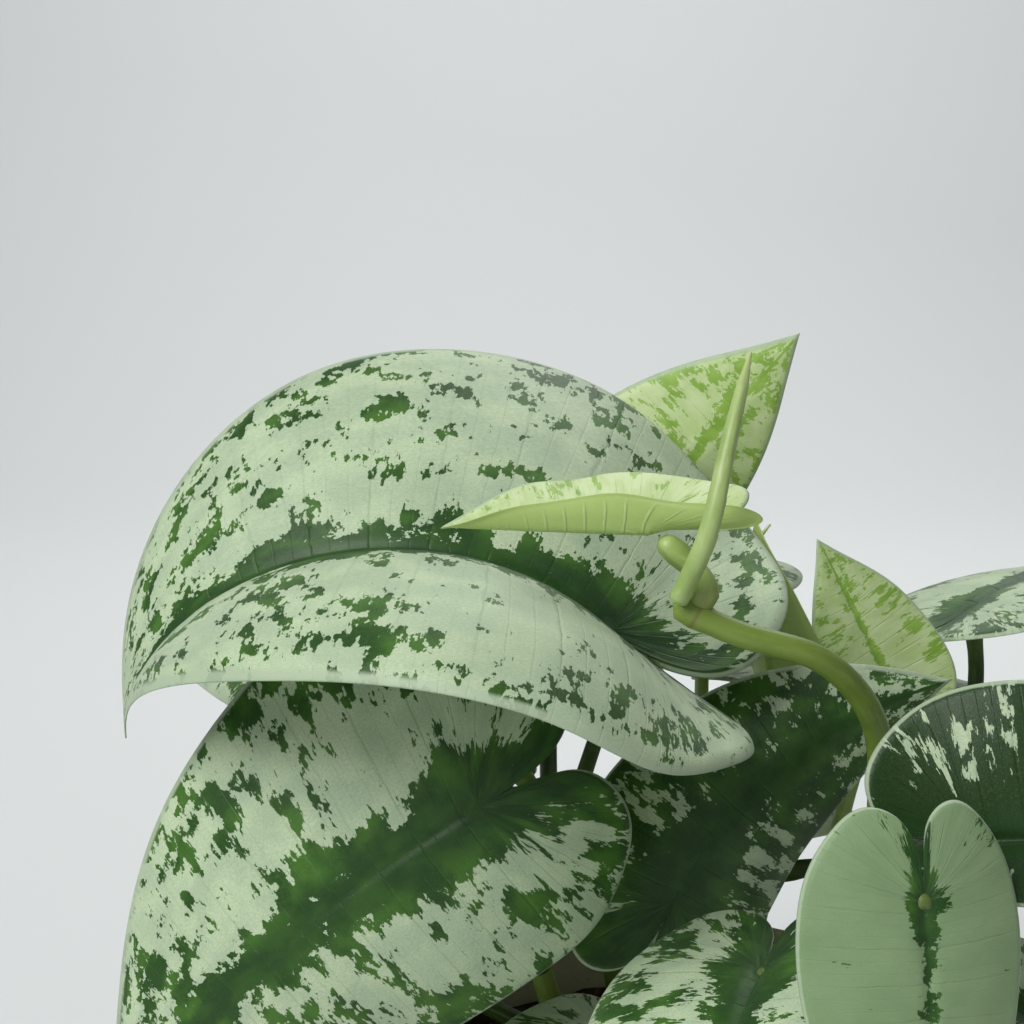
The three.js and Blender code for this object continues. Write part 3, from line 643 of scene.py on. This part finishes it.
def build_blade(node, leaf, look, seed):
    """One closed blade: both halves of the upper side, a rounded rim and the underside."""
    silver_and_shade, young, band = look
    length = np.linalg.norm(np.diff(
        np.stack([leaf["junction"]] + [r[0] for r in leaf["rings"]]), axis=0), axis=1).sum()
    vertices, faces, slots = [], [], []
    pattern, place = [], []
    rows, columns = len(SHARES), len(PLACES)
    index = {}
    grids = []
    for side in (1, -1):
        order = WIDEST * side
        spoke = np.stack([leaf["junction"]] + [r[order] for r in leaf["rings"]])
        half_width = np.linalg.norm(np.diff(spoke, axis=0), axis=1).sum()
        smooth = blade_surface(leaf, side)
        normal = grid_normals(smooth) * side
        grids.append([side, smooth, normal, half_width])
    # the halves share their midrib, so it takes the mean of their normals
    for column in (0, -1):
        shared = unit(grids[0][2][:, column] + grids[1][2][:, column])
        grids[0][2][:, column] = shared
        grids[1][2][:, column] = shared
    mean_up = unit(grids[0][2][1].mean(0) + grids[1][2][1].mean(0))
    for grid in grids:
        grid[2][0] = mean_up

    def point(key, where, out_pattern, out_place):
        if key not in index:
            index[key] = len(vertices)
            vertices.append(where)
            pattern.append(out_pattern)
            place.append(out_place)
        return index[key]

    for side, smooth, normal, half_width in grids:
        proud, deeper, ahead, aside = blade_relief(length, half_width)
        top = smooth + normal * proud[..., None]
        skin = SKIN_THICKNESS + (RIM_THICKNESS - SKIN_THICKNESS) * SHARES[:, None]
        under = top - normal * (skin + deeper)[..., None]
        lane, out = VEIN_FIELD[..., 0], VEIN_FIELD[..., 1]
        across = lane * VEINS * VEIN_PITCH
        depth = seed + side * HALVES_APART * (1 - np.exp(-aside / MIDRIB_REACH))
        along = out * half_width / MM
        wide = aside / length
        far = ahead / length

        def ids(sheet, level):
            table = np.zeros((rows, columns), int)
            for r in range(rows):
                for c in range(columns):
                    key_side = 0 if c in (0, columns - 1) or r == 0 else side
                    key = (level, r, 0 if r == 0 else c, key_side)
                    table[r, c] = point(
                        key, sheet[r, c],
                        (across[r, c], along[r, c], depth[r, c]),
                        (SHARES[r], wide[r, c], far[r, c]),
                    )
            return table

        upper = ids(top, "top")
        lower = ids(under, "under")
        # a rounded edge between the two
        outward = unit(top[-1] - top[-2])
        bead = (top[-1] + under[-1]) / 2 + outward * RIM_THICKNESS * 0.7
        rim = []
        for c in range(columns):
            key_side = 0 if c in (0, columns - 1) else side
            rim.append(point(
                ("rim", c, key_side), bead[c],
                (across[-1, c], along[-1, c], depth[-1, c]), (1.0, wide[-1, c], far[-1, c]),
            ))

        def quad(a, b, c, d, slot):
            corners = []
            for v in (a, b, c, d) if side > 0 else (d, c, b, a):
                if v not in corners:
                    corners.append(int(v))
            if len(corners) > 2:
                faces.append(corners)
                slots.append(slot)

        for r in range(rows - 1):
            for c in range(columns - 1):
                quad(upper[r, c], upper[r, c + 1], upper[r + 1, c + 1], upper[r + 1, c], 0)
                quad(lower[r, c], lower[r + 1, c], lower[r + 1, c + 1], lower[r, c + 1], 1)
        for c in range(columns - 1):
            quad(upper[-1, c], upper[-1, c + 1], rim[c + 1], rim[c], 0)
            quad(rim[c], rim[c + 1], lower[-1, c + 1], lower[-1, c], 1)

    blade = make_object("blade_" + node[5:], vertices, faces, (LEAF_TOP, LEAF_UNDER))
    blade.data.polygons.foreach_set("material_index", slots)
    set_vector(blade, "pattern", pattern)
    set_vector(blade, "place", place)
    set_vector(blade, "kind", [(silver_and_shade, young, band)] * len(vertices))
    return blade


# ---- Tubes ----

def centre_line(rings):
    return np.array([ring.mean(0) for ring in rings])


def finer(line, per_span):
    """The same line with more points, as a natural spline through it."""
    knots = np.concatenate(([0], np.cumsum(np.linalg.norm(np.diff(line, axis=0), axis=1))))
    at = np.interp(np.arange((len(line) - 1) * per_span + 1) / per_span, np.arange(len(line)), knots)
    return natural_spline(knots, line, at), at


def sweep(name, line, radius_at, lead, materials, section=None, marks=None, seed=0.0):
    """Closed tube along a line. radius_at gives the radius at each place, section how it varies
    round the tube, and marks how near a node each place is."""
    along = unit(np.gradient(line, axis=0))
    places = np.concatenate(([0], np.cumsum(np.linalg.norm(np.diff(line, axis=0), axis=1))))
    share = places / places[-1]
    angle = np.linspace(0, 2 * np.pi, TUBE_SIDES, endpoint=False)
    vertices, run, wear = [], [], []
    for k, where in enumerate(line):
        lead = unit(lead - along[k] * (lead @ along[k]))
        other = np.cross(along[k], lead)
        mark = marks[k] if marks is not None else 0.0
        for a in angle:
            r = radius_at[k] * (section(a, share[k]) if section else 1.0)
            vertices.append(where + lead * r * math.cos(a) + other * r * math.sin(a))
            run.append((radius_at[k] * math.sin(a / 2) * 2 / MM, places[k] / MM, seed))
            wear.append((share[k], mark, 0.0))
    first, last = len(vertices), len(vertices) + 1
    vertices += [line[0] - along[0] * radius_at[0] * 0.5, line[-1] + along[-1] * radius_at[-1] * 0.6]
    run += [(0, 0, seed), (0, places[-1] / MM, seed)]
    wear += [(0, 0, 0), (1, 0, 0)]
    faces = []
    for k in range(len(line) - 1):
        for i in range(TUBE_SIDES):
            j = (i + 1) % TUBE_SIDES
            a, b = k * TUBE_SIDES, (k + 1) * TUBE_SIDES
            faces.append((a + i, a + j, b + j, b + i))
    end = (len(line) - 1) * TUBE_SIDES
    for i in range(TUBE_SIDES):
        j = (i + 1) % TUBE_SIDES
        faces.append((first, j, i))
        faces.append((last, end + i, end + j))
    tube = make_object(name, vertices, faces, materials)
    set_vector(tube, "run", run)
    set_vector(tube, "wear", wear)
    return tube


def channelled(angle, _share):
    """Section of a petiole: a shallow channel on its upper side with a low ridge each side."""
    off = math.remainder(angle, 2 * math.pi)
    return 1 - 0.2 * math.exp(-((off / 0.42) ** 2)) + 0.09 * math.exp(-(((abs(off) - 0.8) / 0.3) ** 2))


stem_lines = {}


def nearest_on_stems(p):
    """The stem nearest to a place, with the index and the place of its nearest point."""
    best = None
    for name, line in stem_lines.items():
        gap = np.linalg.norm(line - p, axis=1)
        k = int(gap.argmin())
        if best is None or gap[k] < best[0]:
            best = (gap[k], name, k)
    _, name, k = best
    return name, k, stem_lines[name][k]


stem_nodes = {}


def build_petiole(node, leaf, young, seed):
    """The petiole: a swollen joint under the blade, a channelled stalk and a sheath on the stem."""
    rings = leaf["petiole"]
    line, _ = finer(centre_line(rings), 7)
    radius = np.interp(
        np.linspace(0, 1, len(line)), np.linspace(0, 1, len(rings)),
        [np.linalg.norm(ring - ring.mean(0), axis=1).mean() for ring in rings],
    )
    name, k, on_stem = nearest_on_stems(line[-1])
    stem_nodes.setdefault(name, []).append(k)
    # up into the blade, and down into the stem's skin
    rise = unit(line[0] - line[1])
    above = line[0] + rise * 1.1 * MM
    reach = on_stem - line[-1]
    into = line[-1] + reach * max(0.0, 1 - 1.9 * MM / np.linalg.norm(reach))
    line = np.concatenate(([above], line, [into]))
    radius = np.concatenate(([radius[0] * 0.78], radius, [radius[-1] * 0.86]))
    t = np.linspace(0, 1, len(line))
    span = np.linalg.norm(np.diff(line, axis=0), axis=1).sum()
    from_top = t * span / MM
    from_foot = (1 - t) * span / MM
    radius = radius * (0.86 + 0.24 * np.exp(-(((from_top - 3.5) / 3.6) ** 2)))
    radius = radius * (1 + 0.2 * np.exp(-((from_foot / 6) ** 2)))
    marks = 0.8 * np.exp(-((from_foot / 1.6) ** 2))
    lead = unit(leaf["rings"][0][0] - leaf["junction"])
    skin = YOUNG_PETIOLE if young > 0.5 else PETIOLE
    return sweep("petiole_" + node[5:], line[::-1], radius[::-1], lead, (skin,),
                 channelled, marks[::-1], seed)


def read_tube(node):
    """Rings of a stem or shoot from its CAD node, from its foot up."""
    points, triangles = welded(node)
    near = neighbours(len(points), triangles)
    poles = [v for v in range(len(points)) if len(near[v]) == 8]
    start = min(poles, key=lambda v: points[v][2])
    layers = layers_from(start, near)
    rings = [points[layer] for layer in layers[1:] if len(layer) == 8]
    return rings


def stem_line(node):
    """Centre line and radii of a stem or shoot."""
    rings = read_tube(node)
    line, _ = finer(centre_line(rings), 8)
    radius = np.interp(
        np.linspace(0, 1, len(line)), np.linspace(0, 1, len(rings)),
        [np.linalg.norm(ring - ring.mean(0), axis=1).mean() for ring in rings],
    )
    return line, radius


def finish_stem(node, line, radius, seed):
    """A stem with a swollen ring and a scar at each node, set into the mix."""
    places = np.concatenate(([0], np.cumsum(np.linalg.norm(np.diff(line, axis=0), axis=1)))) / MM
    swell = np.zeros(len(line))
    for k in stem_nodes.get(node, []):
        at = places[k]
        swell = np.maximum(swell, np.exp(-(((places - at) / 2.2) ** 2)))
    swollen = radius * (1 + 0.16 * swell)
    marks = swell**6
    foot = line[0] - unit(line[1] - line[0]) * 7 * MM
    line = np.concatenate(([foot], line))
    swollen = np.concatenate(([swollen[0] * 1.1], swollen))
    marks = np.concatenate(([0], marks))
    return sweep(node + "_skin", line, swollen, np.array((1.0, 0.2, 0.1)), (STEM,), None, marks, seed)


def rolled(angle, share):
    """Section of a rolled young leaf: it winds outward and steps back at its seam."""
    turn = ((angle + share * 2.2) / (2 * math.pi)) % 1.0
    return 0.9 + 0.16 * turn


def build_shoot(node, seed):
    line, radius = stem_line(node)
    return sweep(node + "_roll", line, radius, np.array((1.0, 0.2, 0.1)), (SHOOT,), rolled, None, seed)


# ---- Pot and mix ----

def turned_mesh(profile, sides):
    """Vertices and quads of a profile of (radius, height), turned about the Z axis."""
    vertices, faces = [], []
    for r, z in profile:
        for i in range(sides):
            a = 2 * math.pi * i / sides
            vertices.append((r * math.cos(a), r * math.sin(a), z))
    for k in range(len(profile) - 1):
        for i in range(sides):
            j = (i + 1) % sides
            faces.append((k * sides + i, k * sides + j, (k + 1) * sides + j, (k + 1) * sides + i))
    return vertices, faces


def rounded(corners, steps=5):
    """Profile with each corner (radius, height, rounding) turned into an arc-like curve."""
    out = []
    for k, (r, z, soft) in enumerate(corners):
        here = np.array((r, z))
        if soft == 0 or k in (0, len(corners) - 1):
            out.append(tuple(here))
            continue
        before = unit(np.array(corners[k - 1][:2]) - here)
        after = unit(np.array(corners[k + 1][:2]) - here)
        a, b = here + before * soft, here + after * soft
        for s in np.linspace(0, 1, steps):
            out.append(tuple((1 - s) ** 2 * a + 2 * s * (1 - s) * here + s**2 * b))
    return out


POT_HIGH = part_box("pot")[1]
MIX_LOW, MIX_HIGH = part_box("potting_mix")
RIM_RADIUS = POT_HIGH.x
POT_TOP = POT_HIGH.z
FOOT_SHARE = 110 / 150  # the pot's foot as a share of its rim
FOOT_RADIUS = RIM_RADIUS * FOOT_SHARE
WALL = 4 * MM
FLOOR = 5 * MM
COLLAR_HEIGHT = 20 * MM
COLLAR_STEP = 3 * MM
DRAIN_RADIUS = 4.5 * MM
DRAIN_CIRCLE = 32 * MM
DRAIN_COUNT = 5


def wall_radius(z):
    """Outside radius of the pot's tapered wall."""
    top = RIM_RADIUS - COLLAR_STEP
    return FOOT_RADIUS + (top - FOOT_RADIUS) * z / (POT_TOP - COLLAR_HEIGHT)


INSIDE_RADIUS = wall_radius(POT_TOP - COLLAR_HEIGHT) - WALL  # inside the collar
MIX_GAP = 0.4 * MM  # between the mix and the pot
MIX_CROWN = 4 * MM  # rise of the mix from the wall to the middle


def build_pot():
    """The turned pot with softly rounded edges, and drain holes through its floor."""
    collar = POT_TOP - COLLAR_HEIGHT
    profile = rounded([
        (0.0, 0.0, 0), (wall_radius(0), 0.0, 1.4 * MM), (wall_radius(collar), collar, 0.9 * MM),
        (RIM_RADIUS, collar + 0.6 * MM, 1.1 * MM), (RIM_RADIUS, POT_TOP, 1.6 * MM),
        (INSIDE_RADIUS, POT_TOP, 1.6 * MM), (INSIDE_RADIUS, collar, 1.2 * MM),
        (wall_radius(FLOOR) - WALL, FLOOR, 2.5 * MM), (0.0, FLOOR, 0),
    ])
    profile[0] = (0.2 * MM, 0.0)
    profile[-1] = (0.2 * MM, FLOOR)
    vertices, faces = turned_mesh(profile, POT_SIDES)
    last = (len(profile) - 1) * POT_SIDES
    faces.append(tuple(range(POT_SIDES))[::-1])
    faces.append(tuple(last + i for i in range(POT_SIDES)))
    pot = make_object("pot_body", vertices, faces, (POT,))
    cutters = []
    for i in range(DRAIN_COUNT):
        a = 2 * math.pi * i / DRAIN_COUNT
        x, y = DRAIN_CIRCLE * math.cos(a), DRAIN_CIRCLE * math.sin(a)
        ring = [(x + DRAIN_RADIUS * math.cos(b), y + DRAIN_RADIUS * math.sin(b))
                for b in np.linspace(0, 2 * math.pi, 32, endpoint=False)]
        low = [(u, v, -2 * MM) for u, v in ring]
        high = [(u, v, FLOOR + 2 * MM) for u, v in ring]
        sides = [(k, (k + 1) % 32, 32 + (k + 1) % 32, 32 + k) for k in range(32)]
        caps = [tuple(range(32))[::-1], tuple(range(32, 64))]
        cutters.append(make_object(f"drain_{i}", low + high, sides + caps, ()))
    for cutter in cutters:
        cut = pot.modifiers.new("drain", "BOOLEAN")
        cut.object = cutter
        cut.operation = "DIFFERENCE"
        cut.solver = "EXACT"
    bpy.context.view_layer.update()
    graph = bpy.context.evaluated_depsgraph_get()
    done = bpy.data.meshes.new_from_object(pot.evaluated_get(graph))
    pot.modifiers.clear()
    pot.data = done
    for cutter in cutters:
        bpy.data.objects.remove(cutter)
    smooth_by_angle(pot.data, 38)
    return pot


def smooth_by_angle(mesh, degrees):
    mesh.polygons.foreach_set("use_smooth", [True] * len(mesh.polygons))
    mesh.set_sharp_from_angle(angle=math.radians(degrees))


def mix_height(x, y):
    """Top of the crumbly mix."""
    share = min(1.0, math.hypot(x, y) / INSIDE_RADIUS)
    crown = MIX_HIGH.z - MIX_CROWN * share**2
    p = Vector((x, y, 0.0)) / MM
    lumps = 1.5 * noise.noise(p * 0.09) + 0.9 * noise.noise(p * 0.31) + 0.45 * noise.noise(p * 0.9)
    return crown + (lumps - 0.6) * MM


def build_mix():
    """The bed of the mix: a lumpy top on a plain body inside the pot."""
    inside = INSIDE_RADIUS - MIX_GAP
    rings, sides = 60, 150
    vertices = [(0.0, 0.0, mix_height(0, 0))]
    faces = []
    for k in range(1, rings + 1):
        r = inside * k / rings
        for i in range(sides):
            a = 2 * math.pi * i / sides
            x, y = r * math.cos(a), r * math.sin(a)
            vertices.append((x, y, mix_height(x, y)))
    for i in range(sides):
        faces.append((0, 1 + i, 1 + (i + 1) % sides))
    for k in range(rings - 1):
        a, b = 1 + k * sides, 1 + (k + 1) * sides
        for i in range(sides):
            j = (i + 1) % sides
            faces.append((a + i, b + i, b + j, a + j))
    edge = 1 + (rings - 1) * sides
    bottom_z = MIX_LOW.z
    low_radius = wall_radius(bottom_z) - WALL - MIX_GAP
    bottom = len(vertices)
    for i in range(sides):
        a = 2 * math.pi * i / sides
        vertices.append((low_radius * math.cos(a), low_radius * math.sin(a), bottom_z))
    for i in range(sides):
        j = (i + 1) % sides
        faces.append((edge + i, bottom + i, bottom + j, edge + j))
    faces.append(tuple(bottom + i for i in range(sides))[::-1])
    return make_object("mix_bed", vertices, faces, (MIX,))


def lump(centre, size, rng, flat):
    """Vertices and faces of one rough crumb."""
    phi = (1 + 5**0.5) / 2
    corners = np.array([
        (-1, phi, 0), (1, phi, 0), (-1, -phi, 0), (1, -phi, 0), (0, -1, phi), (0, 1, phi),
        (0, -1, -phi), (0, 1, -phi), (phi, 0, -1), (phi, 0, 1), (-phi, 0, -1), (-phi, 0, 1),
    ], float)
    sides = [
        (0, 11, 5), (0, 5, 1), (0, 1, 7), (0, 7, 10), (0, 10, 11), (1, 5, 9), (5, 11, 4),
        (11, 10, 2), (10, 7, 6), (7, 1, 8), (3, 9, 4), (3, 4, 2), (3, 2, 6), (3, 6, 8), (3, 8, 9),
        (4, 9, 5), (2, 4, 11), (6, 2, 10), (8, 6, 7), (9, 8, 1),
    ]
    points = [unit(c) for c in corners]
    faces = []
    middle = {}

    def between(a, b):
        key = (min(a, b), max(a, b))
        if key not in middle:
            middle[key] = len(points)
            points.append(unit(points[a] + points[b]))
        return middle[key]

    for a, b, c in sides:
        ab, bc, ca = between(a, b), between(b, c), between(c, a)
        faces += [(a, ab, ca), (b, bc, ab), (c, ca, bc), (ab, bc, ca)]
    points = np.array(points)
    points *= 1 + rng.uniform(-0.2, 0.2, (len(points), 1))
    stretch = np.array((rng.uniform(0.7, 1.3), rng.uniform(0.6, 1.0), rng.uniform(0.4, 0.8) * flat))
    turn = np.linalg.qr(rng.normal(size=(3, 3)))[0]
    if np.linalg.det(turn) < 0:
        turn[:, 0] *= -1
    lean = np.eye(3) * 0.45 + turn * 0.55
    return (points * stretch) @ lean.T * size + centre, faces


def build_crumbs(name, count, small, large, flat, material, seed, keep_clear):
    """Many crumbs lying on the mix, in one object."""
    rng = np.random.default_rng(seed)
    vertices, faces = [], []
    made = 0
    while made < count:
        size = rng.uniform(small, large) * MM
        r = (INSIDE_RADIUS - size * 1.5) * math.sqrt(rng.uniform(0, 1))
        a = rng.uniform(0, 2 * math.pi)
        x, y = r * math.cos(a), r * math.sin(a)
        made += 1
        if any(math.hypot(x - u, y - v) < size + 3 * MM for u, v in keep_clear):
            continue
        points, sides = lump(np.array((x, y, mix_height(x, y) + size * 0.12)), size, rng, flat)
        start = len(vertices)
        vertices += [tuple(p) for p in points]
        faces += [tuple(start + i for i in f) for f in sides]
    thing = make_object(name, vertices, faces, (material,), smooth=False)
    smooth_by_angle(thing.data, 32)
    return thing


# ---- Build everything ----

LEAF_NODES = [n for n in sorted(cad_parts) if n.startswith("leaf_")]
STEM_NODES = [n for n in sorted(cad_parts) if n.startswith("stem_")]
SHOOT_NODES = [n for n in sorted(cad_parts) if n.startswith("shoot_")]

stems = {}
for node in STEM_NODES:
    line, radius = stem_line(node)
    stems[node] = (line, radius)
    stem_lines[node] = line

for n, node in enumerate(LEAF_NODES):
    leaf = read_leaf(node)
    look = LOOKS.get(node, PLAIN_LOOK)
    slot = "young_leaf" if look[1] > 0.5 else "leaf"
    seed = 11.7 * (n + 1)
    blade = build_blade(node, leaf, look, seed)
    stands_for(blade, slot, node)
    stands_for(build_petiole(node, leaf, look[1], seed), slot, node)

for n, node in enumerate(STEM_NODES):
    line, radius = stems[node]
    stands_for(finish_stem(node, line, radius, 3.0 * n), "stem", node)

for n, node in enumerate(SHOOT_NODES):
    stands_for(build_shoot(node, 5.0 * n), "young_leaf", node)

stands_for(build_pot(), "pot", "pot")
feet = [tuple(line[0][:2]) for line in stem_lines.values()]
stands_for(build_mix(), "potting_mix", "potting_mix")
stands_for(build_crumbs("mix_bark", 620, 1.6, 4.2, 0.9, BARK, 7, feet), "potting_mix")
stands_for(build_crumbs("mix_perlite", 110, 0.9, 2.1, 1.2, PERLITE, 19, feet), "potting_mix")


# ---- Stage, light and camera ----

def build_stage():
    """A plain pale floor that curves up into a plain backdrop."""
    t = Tree("stage_paper")
    paper = t.node("ShaderNodeBsdfPrincipled", {"Base Color": srgb(226, 229, 228), "Roughness": 0.9})
    t.surface(paper)
    half = 6.0
    profile = [(-6.0, 0.0), (1.2, 0.0)]
    bend = 1.0
    for k in range(1, 13):
        a = math.pi / 2 * k / 12
        profile.append((1.2 + bend * math.sin(a), bend - bend * math.cos(a)))
    profile.append((2.2, 6.0))
    vertices, faces = [], []
    for y, z in profile:
        vertices += [(-half, y, z), (half, y, z)]
    for k in range(len(profile) - 1):
        faces.append((2 * k, 2 * k + 1, 2 * k + 3, 2 * k + 2))
    stage = make_object("stage", vertices, faces, (t.material,))


def area_light(name, place, target, size, power, colour=(1, 1, 1)):
    light = bpy.data.lights.new(name, "AREA")
    light.shape = "DISK"
    light.size = size
    light.energy = power
    light.color = colour
    lamp = bpy.data.objects.new(name, light)
    lamp.location = place
    lamp.rotation_euler = (Vector(target) - Vector(place)).to_track_quat("-Z", "Y").to_euler()
    bpy.context.scene.collection.objects.link(lamp)


TARGET = Vector((-0.038, -0.030, 0.263))
ELEVATION = math.radians(12)
DISTANCE = 0.39


def build_camera():
    data = bpy.data.cameras.new("camera")
    data.lens = 65
    data.sensor_width = 36
    data.clip_start = 0.01
    data.clip_end = 50
    camera = bpy.data.objects.new("camera", data)
    camera.location = TARGET + DISTANCE * Vector((0, -math.cos(ELEVATION), math.sin(ELEVATION)))
    camera.rotation_euler = (TARGET - camera.location).to_track_quat("-Z", "Y").to_euler()
    bpy.context.scene.collection.objects.link(camera)
    bpy.context.scene.camera = camera


def build_light():
    world = bpy.data.worlds.new("world")
    world.use_nodes = True
    back = world.node_tree.nodes["Background"]
    back.inputs["Color"].default_value = (0.93, 0.96, 1.0, 1.0)
    back.inputs["Strength"].default_value = 0.22
    bpy.context.scene.world = world
    area_light("key", (-0.7, -0.7, 1.15), (0, 0, 0.2), 0.8, 15.0)
    area_light("top_back", (0.3, 0.75, 1.15), (0, 0, 0.22), 0.8, 5.0)
    area_light("fill", (-0.2, -1.5, 0.5), (0, 0, 0.2), 1.1, 0.9)
    area_light("backdrop", (0, 0.9, 1.6), (0, 2.4, 0.9), 1.6, 15)


build_stage()
build_camera()
build_light()
scene = bpy.context.scene
scene.view_settings.view_transform = "Standard"
